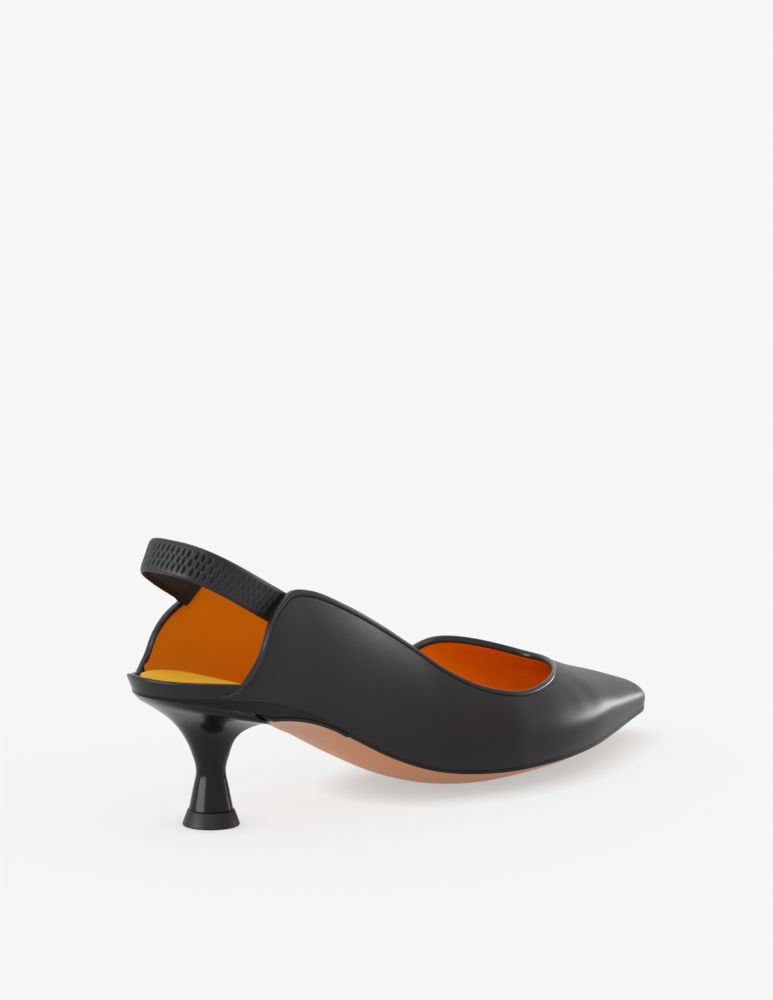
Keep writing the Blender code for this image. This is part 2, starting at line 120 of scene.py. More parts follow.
# Half widths are shares of the two ball widths, swing of TOE_SWING, seat of SEAT_RISE,
# spring of TOE_SPRING, ridge of INSTEP, lean of LEAN, camber of CAMBER and belly of SOLE_BELLY.
LAST_COLUMNS = (
    "share", "lateral", "medial", "swing", "seat", "spring", "ridge", "lean", "camber", "belly",
)
LAST_TABLE = (
    (0.00, 0.690, 0.68, 0.00, 0.990, 0.00, 1.000, 0.00, 0.00, 0.20),
    (0.06, 0.700, 0.69, 0.00, 0.975, 0.00, 1.000, 0.00, 0.00, 0.22),
    (0.15, 0.710, 0.68, 0.00, 0.890, 0.00, 1.000, 0.00, 0.00, 0.28),
    (0.22, 0.700, 0.63, 0.00, 0.745, 0.00, 1.000, 0.00, 0.00, 0.33),
    (0.30, 0.700, 0.57, 0.00, 0.485, 0.00, 0.970, 0.05, 0.00, 0.38),
    (0.38, 0.720, 0.56, 0.00, 0.240, 0.00, 0.880, 0.20, 0.30, 0.45),
    (0.45, 0.785, 0.63, 0.01, 0.085, 0.00, 0.780, 0.40, 0.60, 0.62),
    (0.52, 0.890, 0.77, 0.03, 0.015, 0.00, 0.690, 0.60, 0.85, 0.86),
    (0.60, 0.985, 0.93, 0.08, 0.000, 0.00, 0.600, 0.80, 1.00, 1.00),
    (0.68, 0.975, 1.00, 0.22, 0.000, 0.15, 0.520, 1.00, 1.00, 1.00),
    (0.76, 0.870, 0.95, 0.42, 0.000, 0.40, 0.410, 1.00, 0.85, 0.86),
    (0.84, 0.655, 0.76, 0.65, 0.000, 0.65, 0.290, 0.75, 0.55, 0.60),
    (0.91, 0.430, 0.53, 0.82, 0.000, 0.85, 0.207, 0.45, 0.30, 0.36),
    (0.96, 0.275, 0.36, 0.94, 0.000, 0.95, 0.145, 0.20, 0.12, 0.20),
    (1.00, 0.180, 0.24, 1.00, 0.000, 1.00, 0.105, 0.00, 0.00, 0.08),
)

# The upper's edge from the back foot of a quarter to the throat. around is 0 at the feather line
# and 1 at the ridge, and foot is the share of the length that the edge's cross line runs down to.
EDGE_COLUMNS = ("share", "around", "foot")
LATERAL_EDGE = (
    (0.083, 0.065, 0.086),
    (0.096, 0.135, 0.099),
    (0.121, 0.204, 0.124),
    (0.133, 0.263, 0.138),
    (0.150, 0.338, 0.156),
    (0.170, 0.385, 0.176),
    (0.187, 0.424, 0.198),
    (0.222, 0.450, 0.236),
    (0.298, 0.490, 0.312),
    (0.380, 0.535, 0.396),
    (0.430, 0.540, 0.448),
    (0.480, 0.490, 0.500),
    (0.540, 0.437, 0.564),
    (0.600, 0.420, 0.628),
    (0.655, 0.460, 0.696),
    (0.706, 0.552, 0.772),
    (0.748, 0.680, 0.860),
    (0.775, 0.820, 0.932),
    (0.786, 0.925, 0.976),
    (0.788, 1.000, 1.000),
)
MEDIAL_EDGE = (
    (0.083, 0.080, 0.086),
    (0.091, 0.122, 0.095),
    (0.104, 0.165, 0.108),
    (0.118, 0.205, 0.124),
    (0.136, 0.245, 0.144),
    (0.159, 0.286, 0.167),
    (0.175, 0.324, 0.185),
    (0.192, 0.377, 0.204),
    (0.226, 0.412, 0.240),
    (0.298, 0.428, 0.312),
    (0.380, 0.423, 0.396),
    (0.460, 0.402, 0.480),
    (0.540, 0.400, 0.566),
    (0.600, 0.418, 0.640),
    (0.640, 0.530, 0.690),
    (0.678, 0.712, 0.750),
    (0.722, 0.835, 0.820),
    (0.755, 0.915, 0.895),
    (0.780, 0.975, 0.965),
    (0.788, 1.000, 1.000),
)

# Heights are shares of the seat's height over the floor, back of SEAT_BACK, front and bow of
# BREAST, and half of the seat's half width. A ring is widest at front and bows forward from there.
# Columns: back_height, front_height, back, front, bow, half.
HEEL_TABLE = (
    (0.925, 0.772, 0.845, 0.91, 0.05, 0.955),
    (0.850, 0.752, 0.665, 0.87, 0.09, 0.785),
    (0.776, 0.710, 0.510, 0.74, 0.22, 0.590),
    (0.700, 0.655, 0.400, 0.53, 0.56, 0.435),
    (0.612, 0.582, 0.306, 0.26, 0.92, 0.320),
    (0.513, 0.501, 0.226, 0.09, 1.00, 0.256),
)


def table_value(table, columns, name, key):
    """Smooth value of a table's named column where its first column has this value."""
    rows = np.array(table)
    x = rows[:, 0]
    y = rows[:, columns.index(name)]
    slope = np.diff(y) / np.diff(x)
    tangent = np.concatenate([slope[:1], (slope[:-1] + slope[1:]) / 2, slope[-1:]])
    turning = np.concatenate([[False], slope[:-1] * slope[1:] <= 0, [False]])
    tangent[turning] = 0
    i = np.clip(np.searchsorted(x, key) - 1, 0, len(x) - 2)
    step = x[i + 1] - x[i]
    t = (key - x[i]) / step
    start = (1 + 2 * t) * (1 - t) ** 2 * y[i] + t * (1 - t) ** 2 * step * tangent[i]
    return start + t * t * (3 - 2 * t) * y[i + 1] + t * t * (t - 1) * step * tangent[i + 1]


def last_value(name, share):
    """Smooth value of a column of the last at shares of the length."""
    return table_value(LAST_TABLE, LAST_COLUMNS, name, np.asarray(share, float))


def round_off(distance, radius):
    """Share of the full width at a distance from a round end."""
    return np.sqrt(np.clip(1 - np.clip(1 - distance / radius, 0, 1) ** 2, 0, 1))


def feather_height(share):
    """Height of the line where upper and sole meet."""
    rise = BALL_LIFT + SEAT_RISE * last_value("seat", share)
    return rise + TOE_SPRING * last_value("spring", share)


def half_width(share, side):
    """Half width of the feather line before its round ends, lateral for side -1 and medial for
    side 1."""
    lateral = LATERAL_BALL * last_value("lateral", share)
    return np.where(side < 0, lateral, MEDIAL_BALL * last_value("medial", share))


def last_point(share, around, side):
    """Points of the upper's outer face, around from 0 at the feather line to 1 at the ridge."""
    share, around, side = np.broadcast_arrays(np.asarray(share, float), around, side)
    toe = round_off((1 - share) * LENGTH, TOE_ROUND)
    end = toe * round_off(share * LENGTH, HEEL_ROUND)
    nose = round_off((1 - share) * LENGTH + TOE_BLUNT, TOE_ROUND)
    ridge = INSTEP * last_value("ridge", share) * nose
    belly = np.minimum(BELLY, 0.4 * ridge)
    overhang = OVERHANG * np.minimum(1, ridge / (2 * BELLY))
    low = np.clip(around / 0.15, 0, 1)
    angle = np.clip((around - 0.15) / 0.85, 0, 1) * math.pi / 2
    power = 2 / np.where(side < 0, LATERAL_POWER, MEDIAL_POWER)
    bulge = overhang * (1 - (1 - low) ** 2)
    out = (half_width(share, side) + bulge) * end * np.cos(angle) ** power
    up = belly * low + (ridge - belly) * np.sin(angle) ** power
    centre = TOE_SWING * last_value("swing", share)
    lean = LEAN * last_value("lean", share) * np.sin(angle) ** 1.5
    height = feather_height(share) + up
    return np.stack([share * LENGTH - SEAT_BACK, centre + lean + side * out, height], axis=-1)


def along(points):
    """Distance along a line of points, and the angle it has turned through in plan."""
    step = np.diff(points, axis=0)
    heading = np.unwrap(np.arctan2(step[:, 1], step[:, 0]))
    turned = np.concatenate([[0], np.cumsum(np.abs(np.diff(heading)))])
    distance = np.concatenate([[0], np.cumsum(np.linalg.norm(step, axis=1))])
    return distance, np.concatenate([[0], turned])


def smooth_path(rows, count, side):
    """Rows on a smooth curve through the given rows, closer together where the edge or the
    feather line turns."""
    rows = np.array(rows)
    step = np.linalg.norm(np.diff(rows[:, :2], axis=0) * (1.0, 0.35), axis=1)
    at = np.concatenate([[0], np.cumsum(step)]) / step.sum()
    keyed = np.column_stack([at, rows])
    names = ("at",) + EDGE_COLUMNS
    fine = [table_value(keyed, names, name, np.linspace(0, 1, 501)) for name in EDGE_COLUMNS]
    edge_length, edge_turn = along(last_point(fine[0], fine[1], side))
    foot_length, foot_turn = along(last_point(fine[2], 0.0, side))
    spread = edge_length + foot_length + TURN_SPREAD * (edge_turn + foot_turn)
    where = np.linspace(0, spread[-1], count)
    return np.column_stack([np.interp(where, spread, column) for column in fine])


def cross_line(edge_row, side, downs):
    """Points of the upper's outer face from its edge, at 0, down to the feather line, at 1."""
    share, around, foot = edge_row
    toeward = np.clip((foot - 0.70) / 0.30, 0, 1)
    hug = 1 + 7 * toeward ** 1.5
    reach = 1 - (1 - downs) ** (1 + 0.5 * toeward)
    fall = around * (1 - reach ** hug)
    if foot > 0.9999:
        fall = around * np.clip((1 - reach) / (1 - TIP_TURN), 0, 1)
        reach = np.minimum(reach / TIP_TURN, 1)
    return last_point(share + (foot - share) * reach, fall, side)


def grid_faces(columns, rows, closed=False):
    """Quads of a grid whose points run row by row within each column."""
    faces = []
    for i in range(columns if closed else columns - 1):
        following = (i + 1) % columns
        for j in range(rows - 1):
            here, there = i * rows + j, following * rows + j
            faces.append((here, here + 1, there + 1, there))
    return faces


def end_spaced(start, stop, count, start_round, stop_round):
    """Shares from start to stop, closer together at the ends that are round."""
    t = np.linspace(0, 1, count)
    eased = (1 - np.cos(t * math.pi)) / 2
    if not start_round:
        eased = np.sin(t * math.pi / 2)
    if not stop_round:
        eased = 1 - np.cos(t * math.pi / 2)
    return start + (stop - start) * (0.55 * eased + 0.45 * t)


def plan_half(share, side, inset):
    """Half width of the feather line's plan drawn in by an inset, with its round ends."""
    share = np.asarray(share, float)
    back = round_off(share * LENGTH - inset, HEEL_ROUND)
    front = round_off((1 - share) * LENGTH - inset, TOE_ROUND)
    return np.maximum((half_width(share, side) - inset) * back * front, 0.0006)


def camber_drop(share, across):
    """How far the last's bottom sags below the feather line across the foot."""
    return CAMBER * last_value("camber", share) * (1 - across ** 2)


def lip_depth(share):
    """Depth of the heel's lip: thin at the back of the seat, deep at the breast and thinning out
    again along the shank."""
    ahead = share * LENGTH - SEAT_BACK - BREAST
    seat = SEAT_EDGE + (LIP - SEAT_EDGE) * np.clip(1 + ahead / LIP_RAMP, 0, 1)
    shank = LIP * np.clip(1 - ahead / LIP_LENGTH, 0, 1) ** 1.2
    return np.where(ahead < 0, seat, np.maximum(shank, SOLE_EDGE / 4))


def seat_draw(share):
    """How far the seat's edge stands in from the feather line's plan round the back."""
    return SEAT_DRAW * np.clip(1 - (share * LENGTH / RIM_REACH) ** 2, 0, 1)


def lip_shares():
    """Stations that the lip and the sole under it have in common."""
    start = (SEAT_BACK + BREAST + GAP) / LENGTH
    return np.linspace(start, start + LIP_LENGTH / LENGTH, 9)


def sole_top(share, across):
    under_lip = GAP + lip_depth(share) if share < lip_shares()[-1] + GAP / LENGTH else 0.0
    under_nose = NOSE_GAP * np.clip((share - NOSE_START) / (1 - NOSE_START), 0, 1)
    return feather_height(share) - GAP - under_lip - under_nose - camber_drop(share, across)


def sole_bottom(share, across):
    belly = SOLE_BELLY * last_value("belly", share) * (1 - across ** 2)
    camber = camber_drop(share, across)
    lowest = sole_top(share, across) + camber - SOLE_EDGE - np.maximum(belly, camber)
    return max(float(lowest), 0.0)


def insole_thickness(share):
    blend = np.clip((share - 0.12) / 0.22, 0, 1)
    return SEAT_PAD + (INSOLE - SEAT_PAD) * blend * blend * (3 - 2 * blend)


def lip_bottom(share, across):
    return feather_height(share) - GAP - lip_depth(share)


def stem_top_ring(count, depth_share):
    """The seat's plan behind the breast, drawn in so that it stays inside the lip's side."""
    front_share = (SEAT_BACK + BREAST) / LENGTH
    t = np.linspace(0, 1, count // 2 + 1)
    shares = front_share * (1 + np.cos(t * math.pi)) / 2
    lateral = [(share, -1) for share in shares]
    medial = [(share, 1) for share in shares[::-1][1:]]
    ring = []
    for share, side in lateral + medial:
        x, y, z = last_point(share, 0.0, side)
        reach = 1 - seat_draw(share) / HEEL_ROUND
        x, y = SEAT_CENTRE + (x - SEAT_CENTRE) * reach, y * reach
        drop = GAP + lip_depth(share) * depth_share
        ring.append((x * STEM_DRAW + (1 - STEM_DRAW) * BREAST, y * STEM_DRAW, z - drop))
    return ring


def heel_section(sizes, count):
    """A ring of the heel's stem, its back and front at their own heights."""
    back_height, front_height, back, front, bow, half = sizes
    ring = []
    for t in np.linspace(0, 2 * math.pi, count + 2)[1:-1]:
        cosine = math.cos(t)
        x = front + cosine * (bow if cosine > 0 else front + back)
        blend = (x + back) / (front + bow + back)
        ring.append((x, -half * math.sin(t), back_height + (front_height - back_height) * blend))
    return ring


def strap_height(x):
    """Height of the strap's middle line, which falls from the back of the heel to the quarters."""
    return feather_height(0.0) + STRAP_BACK_LIFT - STRAP_SLOPE * (x + STRAP_BACK)


def strap_span(side):
    """Distance from the middle plane to the strap's outer face, clear of a quarter's inner face."""
    x = np.linspace(STRAP_START, STRAP_START + STRAP_TUCK, 7)[:, None]
    points = last_point((x + SEAT_BACK) / LENGTH, np.linspace(0.15, STRAP_TOP, 24), side)
    beside = np.abs(points[..., 2] - strap_height(x)) < STRAP_HEIGHT * 0.6
    return float((points[..., 1] * side)[beside].min()) - WALL - STRAP_CLEAR


def strap_path(count):
    """Plan points of the strap's outer face, from its lateral end round the heel to its medial
    end."""
    ends = np.linspace(STRAP_START + STRAP_TUCK, STRAP_BEND, 7)[:-1]
    points = [(x, -strap_span(-1)) for x in ends]
    for t in np.linspace(0, math.pi, count):
        cosine = math.cos(t)
        span = strap_span(-1 if cosine > 0 else 1)
        x = STRAP_BEND - (STRAP_BEND + STRAP_BACK) * math.sin(t) ** STRAP_FULLNESS
        y = STRAP_SWAY * math.sin(t) - span * math.copysign(abs(cosine) ** STRAP_FULLNESS, cosine)
        points.append((x, y))
    points += [(x, strap_span(1)) for x in ends[::-1]]
    return np.array(points)


# The room: how pale the floor is, how it glows and how far the painted shadow round the shoe
# reaches
FLOOR_SIZE = 12.0
FLOOR_TONE = 0.20
FLOOR_GLOW = 0.74
WORLD = 0.92
SHADOW_REACH = 0.014
SHADOW_LEAST = 0.62

# The camera, fitted to the photo's outline
CAMERA_PLACE = (-1.88179, -2.10708, 0.63782)
CAMERA_TURN = math.radians(47)
CAMERA_PITCH = math.radians(10.5)
CAMERA_LENS = 300.53
CAMERA_SENSOR = 36.0

# The soft boxes: name, place, aim, width, height and radiance
LAMPS = (
    ("overhead", (0.2, 0.3, 1.5), (0.1, 0.0, 0.0), 1.6, 1.6, 1.3),
    ("front_top", (-0.9, -1.0, 1.7), (0.1, 0.0, 0.05), 1.2, 1.2, 1.9),
    ("toe_side", (1.5, -0.1, 0.13), (0.2, 0.0, 0.03), 0.9, 0.24, 13.0),
    ("heel_side", (-1.15, 0.3, 0.35), (0.0, 0.0, 0.05), 1.1, 0.7, 6.5),
)

# Fine forms of the upper, and the painted light on its lining: its colour changes along the shoe,
# brighter toward the vamp
LINING_QUARTER = 0.055
LINING_VAMP = 0.115
GROOVE_PLACE = 0.00215
GROOVE_WIDTH = 0.00022
GROOVE_DEPTH = 0.00030
CLOSING = 0.00020

# The strap's pockets. RUCHE_STRENGTH pairs shares of its length with shares of the pockets' depth.
RUCHE_PITCH = 0.0025
RUCHE_WIDTH = 0.00035
RUCHE_TALL = 0.00175
RUCHE_DEPTH = 0.00105
RUCHE_SLANT = 0.16
RUCHE_ROWS = (0.00275, -0.0001, -0.00295)
RUCHE_WANDER = 0.00016
RUCHE_SEED = 4
RUCHE_STRENGTH = ((0, 0.12, 0.25, 0.4, 0.6, 0.8, 1), (0.15, 0.3, 0.6, 1, 1, 0.8, 0.3))

# The strap's ends, the far one bent into the quarter's wall
NEAR_TRIM = 0.0050
FAR_TRIM = 0.0072
FAR_SLANT = 0.0045
FAR_SEWN = 0.0035
FAR_BEND = 0.0050
SEWN_THICKNESS = 0.0009
SEWN_DEPTH = 0.0005

# The seat, the sole's root under the heel's breast and the wrap
SOCK_PAD = 0.0036
SOLE_ROOT = 0.0070
SOLE_COLUMNS = 41
FAR_RIM_SHARE = 0.56
FAR_RIM_FALL = 0.045
FAR_RIM_GAP = 0.0006
RIM_TUCK = 0.0030
RIM_ROLL = 0.0007
ROLL_START = 0.86

# The binding's tails, which thin out down the quarters' feet and end inside the wrap
TAIL_ROWS = ((0.056, 0.016, 0.057), (0.068, 0.030, 0.070))
TAIL_SIZE = 0.30
TAIL_TAPER = 0.014
TAIL_LIFT = 0.0007
TAIL_RISE = 0.012
TAIL_DIVE = 0.0018
TAIL_TIP = 0.004

# Soft troughs and ridges of the leather: the ends as share and around, the depth (negative for a
# ridge) and the width, in metres.
CREASES = (
    (-1, 0.735, 0.560, 0.760, 0.180, 0.00022, 0.0050),
    (-1, 0.765, 0.600, 0.800, 0.200, -0.00018, 0.0050),
    (-1, 0.700, 0.480, 0.705, 0.200, 0.00016, 0.0060),
    (1, 0.720, 0.700, 0.770, 0.300, 0.00018, 0.0060),
)


def material(name):
    """A new material, its node tree and its shader."""
    made = bpy.data.materials.new(name)
    made.use_nodes = True
    return made, made.node_tree, made.node_tree.nodes["Principled BSDF"]


def leather(name, colour, roughness, grain=0.04, grain_scale=1500.0, specular=0.22, coat=0.0):
    """Leather with a fine grain."""
    made, tree, shader = material(name)
    shader.inputs["Base Color"].default_value = (*colour, 1.0)
    shader.inputs["Roughness"].default_value = roughness
    shader.inputs["Specular IOR Level"].default_value = specular
    shader.inputs["Coat Weight"].default_value = coat
    shader.inputs["Coat Roughness"].default_value = 0.25
    place = tree.nodes.new("ShaderNodeTexCoord")
    cells = tree.nodes.new("ShaderNodeTexVoronoi")
    cells.inputs["Scale"].default_value = grain_scale
    bump = tree.nodes.new("ShaderNodeBump")
    bump.inputs["Strength"].default_value = grain
    bump.inputs["Distance"].default_value = 0.0004
    tree.links.new(place.outputs["Object"], cells.inputs["Vector"])
    tree.links.new(cells.outputs["Distance"], bump.inputs["Height"])
    tree.links.new(bump.outputs["Normal"], shader.inputs["Normal"])
    return made


def paint_lining_light(made, quarter, vamp):
    """Painted light on the lining: its colour runs from the quarter's to the brighter vamp's along
    the shoe, where more light falls in.
    """
    tree = made.node_tree
    place = tree.nodes["Texture Coordinate"]
    parts = tree.nodes.new("ShaderNodeSeparateXYZ")
    ramp = tree.nodes.new("ShaderNodeMapRange")
    ramp.inputs["From Min"].default_value = LINING_QUARTER
    ramp.inputs["From Max"].default_value = LINING_VAMP
    mix = tree.nodes.new("ShaderNodeMix")
    mix.data_type = "RGBA"
    mix.inputs["A"].default_value = (*quarter, 1.0)
    mix.inputs["B"].default_value = (*vamp, 1.0)
    tree.links.new(place.outputs["Object"], parts.inputs["Vector"])
    tree.links.new(parts.outputs["X"], ramp.inputs["Value"])
    tree.links.new(ramp.outputs["Result"], mix.inputs["Factor"])
    tree.links.new(mix.outputs["Result"], tree.nodes["Principled BSDF"].inputs["Base Color"])


def add_mesh(name, points, faces, materials, slots=None, sharp=35.0):
    """A smooth-shaded mesh piece. slots holds the material number of each face."""
    mesh = bpy.data.meshes.new(name)
    mesh.from_pydata([tuple(p) for p in points], [], faces)
    mesh.validate()
    for item in materials:
        mesh.materials.append(item)
    if slots is not None and len(slots) == len(mesh.polygons):
        mesh.polygons.foreach_set("material_index", slots)
    mesh.shade_smooth()
    mesh.set_sharp_from_angle(angle=math.radians(sharp))
    piece = bpy.data.objects.new(name, mesh)
    bpy.context.scene.collection.objects.link(piece)
    return piece


def distance_along(points):
    """Distance from the first point to each point of a line."""
    return np.concatenate([[0], np.cumsum(np.linalg.norm(np.diff(points, axis=0), axis=1))])


def smooth_along(points, passes):
    """The grid with each row eased along its length, its ends kept."""
    for _ in range(passes):
        eased = points.copy()
        eased[1:-1] = (points[:-2] + 2 * points[1:-1] + points[2:]) / 4
        points = eased
    return points


def edge_rows(count, tail):
    """The edge's rows, from the lateral quarter's foot or tail round the throat to the medial
    one's."""
    extra = TAIL_ROWS if tail else ()
    lateral = smooth_path(extra + LATERAL_EDGE, count, -1)
    medial = smooth_path(extra + MEDIAL_EDGE, count, 1)
    return [(-1, row) for row in lateral] + [(1, row) for row in medial[:-1][::-1]]


def surface(count, near, rows, tail=False):
    """Grid of the upper's outer face: near holds distances from the edge, and rows more steps
    lead on to the feather line."""
    grid = []
    fine = np.linspace(0, 1, 241)
    for side, row in edge_rows(count, tail):
        line = cross_line(row, side, fine)
        length = distance_along(line)
        first = np.array(near) * min(1.0, 0.5 * length[-1] / near[-1])
        at = np.concatenate([first, np.linspace(first[-1], length[-1], rows + 1)[1:]])
        grid.append(np.column_stack([np.interp(at, length, line[:, axis]) for axis in range(3)]))
    return np.array(grid)


def evenly(grid):
    """The grid's columns spaced evenly along the edge."""
    reach = distance_along(grid[:, 0])
    at = np.interp(np.linspace(0, reach[-1], len(grid)), reach, np.arange(len(grid)))
    first = np.minimum(at.astype(int), len(grid) - 2)
    part = (at - first)[:, None, None]
    return grid[first] * (1 - part) + grid[first + 1] * part


def outward(grid):
    """Unit normals of a grid of the outer face."""
    along_edge = np.gradient(grid, axis=0)
    down = np.gradient(grid, axis=1)
    normal = np.cross(down, along_edge)
    return normal / np.maximum(np.linalg.norm(normal, axis=2, keepdims=True), 1e-12)


def crease_depth(points):
    """How far the troughs draw the leather in at these points."""
    depth = np.zeros(points.shape[:2])
    for side, share_a, around_a, share_b, around_b, deep, width in CREASES:
        start = last_point(share_a, around_a, side)
        end = last_point(share_b, around_b, side)
        axis = end - start
        t = np.clip((points - start) @ axis / (axis @ axis), 0, 1)
        away = np.linalg.norm(points - start - t[..., None] * axis, axis=2)
        depth += deep * np.exp(-(away / width) ** 2) * np.sin(np.clip(t, 0.02, 0.98) * math.pi)
    return depth


def shell_faces(columns, rows):
    """Faces of a closed wall: outer grid, inner grid and the four edges between them."""
    base = columns * rows
    outer = grid_faces(columns, rows)
    inner = [tuple(base + k for k in face[::-1]) for face in outer]
    sides = []
    for i in range(columns - 1):
        a, b = i * rows, (i + 1) * rows
        sides.append((a, b, base + b, base + a))
        a, b = a + rows - 1, b + rows - 1
        sides.append((b, a, base + a, base + b))
    for j in range(rows - 1):
        sides.append((j + 1, j, base + j, base + j + 1))
        k = (columns - 1) * rows + j
        sides.append((k, k + 1, base + k + 1, base + k))
    return outer, inner, sides


def build_upper(skin, lining):
    """The upper's wall, its outer face creased and grooved beside the binding."""
    near = np.array([1.1, 1.5, 1.8, 2.0, 2.15, 2.3, 2.5, 2.8, 3.3, 4.0]) / 1000
    grid = smooth_along(surface(211, near, 56), 10)
    grid[:, -1, 2] -= CLOSING
    columns, rows, _ = grid.shape
    normal = outward(grid)
    groove = np.zeros(rows)
    groove[:len(near)] = GROOVE_DEPTH * np.exp(-((near - GROOVE_PLACE) / GROOVE_WIDTH) ** 2)
    sink = crease_depth(grid) + groove[None, :]
    outer = grid - normal * sink[..., None]
    inner = grid - normal * WALL
    points = np.concatenate([outer.reshape(-1, 3), inner.reshape(-1, 3)])
    face_sets = shell_faces(columns, rows)
    faces = [face for group in face_sets for face in group]
    lined = [int(number % (rows - 1) < rows - 3) for number in range(len(face_sets[1]))]
    slots = [0] * len(face_sets[0]) + lined + [0] * len(face_sets[2])
    return add_mesh("upper_leather", points, faces, [skin, lining], slots, 60)


def bead_profile():
    """The binding's section: distances down from the edge and out from the outer face, in mm."""
    return np.array([
        (2.02, -0.70), (2.06, -0.22), (1.98, 0.06), (1.80, 0.24), (1.45, 0.34), (1.05, 0.40),
        (0.65, 0.42), (0.30, 0.36), (0.05, 0.16), (-0.10, -0.20), (-0.16, -0.80), (-0.12, -1.40),
        (0.05, -1.85), (0.40, -2.08), (0.95, -2.12), (1.50, -2.10), (1.90, -1.95), (2.02, -1.60),
    ]) / 1000


def build_binding(edge):
    """The piping along the upper's edge, with a tail at each quarter's foot."""
    grid = smooth_along(evenly(surface(241, np.array([0.0, 1.0, 2.0]) / 1000, 3, True)), 10)
    start = grid[:, 0]
    down = grid[:, 2] - start
    down /= np.linalg.norm(down, axis=1, keepdims=True)
    along_edge = np.gradient(start, axis=0)
    normal = np.cross(down, along_edge)
    normal /= np.linalg.norm(normal, axis=1, keepdims=True)
    normal = smooth_along(normal, 8)
    down = smooth_along(down, 8)
    reach = distance_along(start)
    from_end = np.minimum(reach, reach[-1] - reach)
    size = TAIL_SIZE + (1 - TAIL_SIZE) * np.clip(from_end / TAIL_TAPER, 0, 1) ** 0.8
    lift = TAIL_LIFT * np.clip(1 - from_end / TAIL_RISE, 0, 1)
    lift -= TAIL_DIVE * np.clip(1 - from_end / TAIL_TIP, 0, 1)
    profile = bead_profile()
    rings = []
    for i in range(len(start)):
        section = profile[:, :1] * down[i] + profile[:, 1:] * normal[i]
        rings.append(start[i] + normal[i] * lift[i] + size[i] * section)
    return tube("binding_bead", rings, [edge], 70)


def tube(name, rings, materials, sharp=60.0):
    """A closed tube through rings of points, its ends filled."""
    count = len(rings[0])
    faces = []
    for i in range(len(rings) - 1):
        for j in range(count):
            k = (j + 1) % count
            here, there = i * count, (i + 1) * count
            faces.append((here + j, here + k, there + k, there + j))
    last = (len(rings) - 1) * count
    faces.append(tuple(reversed(range(count))))
    faces.append(tuple(last + j for j in range(count)))
    return add_mesh(name, np.concatenate(rings), faces, materials, None, sharp)


def pucker(along_strap, height):
    """Depth, from 0 to 1, of the slanted pockets between the elastic's three stitched rows."""
    depth = np.zeros_like(height)
    for number, row in enumerate(RUCHE_ROWS):
        shifted = along_strap + RUCHE_SLANT * (height - row) + 0.5 * RUCHE_PITCH * (number % 2)
        beside = (shifted + 0.5 * RUCHE_PITCH) % RUCHE_PITCH - 0.5 * RUCHE_PITCH
        tall = np.clip(1 - ((height - row) / RUCHE_TALL) ** 2, 0, 1)
        depth += np.exp(-(beside / RUCHE_WIDTH) ** 2) * tall
    return np.clip(depth, 0, 1)


def build_strap(cloth, inside):
    """The elastic strap, its leather puckered, its far end bent into the quarter's wall."""
    path = strap_path(161)
    step = distance_along(path)
    fine = np.linspace(0, step[-1], 640)
    path = np.column_stack([np.interp(fine, step, path[:, axis]) for axis in range(2)])
    path = smooth_along(path[:, None, :], 10)[:, 0, :]
    direction = np.gradient(path, axis=0)
    direction /= np.linalg.norm(direction, axis=1, keepdims=True)
    half = STRAP_HEIGHT / 2
    rise = np.array([math.sin(STRAP_LEAN), 0.0, math.cos(STRAP_LEAN)])
    across = np.linspace(-1, 1, 61)
    height = across * half
    low = across[::-6]
    roll = STRAP_THICKNESS * 0.5 * (1 - np.sqrt(np.clip(1 - np.abs(across) ** 7, 0, 1)))
    low_roll = STRAP_THICKNESS * 0.5 * (1 - np.sqrt(np.clip(1 - np.abs(low) ** 7, 0, 1)))
    wander = np.random.default_rng(RUCHE_SEED).normal(0, RUCHE_WANDER, 40)
    rings = []
    for i in range(len(fine)):
        level = np.concatenate([height, low[1:-1] * half])
        cut = step[-1] - FAR_TRIM - FAR_SLANT * (1 - level / half) / 2
        where = NEAR_TRIM + (cut - NEAR_TRIM) * i / (len(fine) - 1)
        base = np.column_stack([np.interp(where, fine, path[:, axis]) for axis in range(2)])
        turn = np.column_stack([np.interp(where, fine, direction[:, axis]) for axis in range(2)])
        slope = np.column_stack([turn, -STRAP_SLOPE * turn[:, 0]])
        out = -np.cross(slope, rise)
        out /= np.linalg.norm(out, axis=1, keepdims=True)
        points = np.column_stack([base, strap_height(base[:, 0])]) + level[:, None] * rise
        front = len(height)
        shift = np.interp(where[:front], np.linspace(0, step[-1], 40), wander)
        strength = np.interp(where[:front] / step[-1], *RUCHE_STRENGTH)
        sewn = np.clip((where - (cut - FAR_SEWN - FAR_BEND)) / FAR_BEND, 0, 1)
        sewn = sewn * sewn * (3 - 2 * sewn)
        inset = np.empty(len(level))
        inset[:front] = roll + strength * RUCHE_DEPTH * pucker(where[:front] + shift, height)
        inset[front:] = (STRAP_THICKNESS - low_roll)[1:-1]
        inset *= 1 - sewn * (1 - SEWN_THICKNESS / STRAP_THICKNESS)
        inset -= sewn * (WALL + STRAP_CLEAR - SEWN_DEPTH)
        rings.append(points - out * inset[:, None])
    strap = tube("ruched_strap", rings, [cloth, inside], 80)
    size = len(rings[0])
    turned = [int(j % size >= len(across)) for _ in range(len(rings) - 1) for j in range(size)]
    strap.data.polygons.foreach_set("material_index", turned + [0, 0])
    return strap


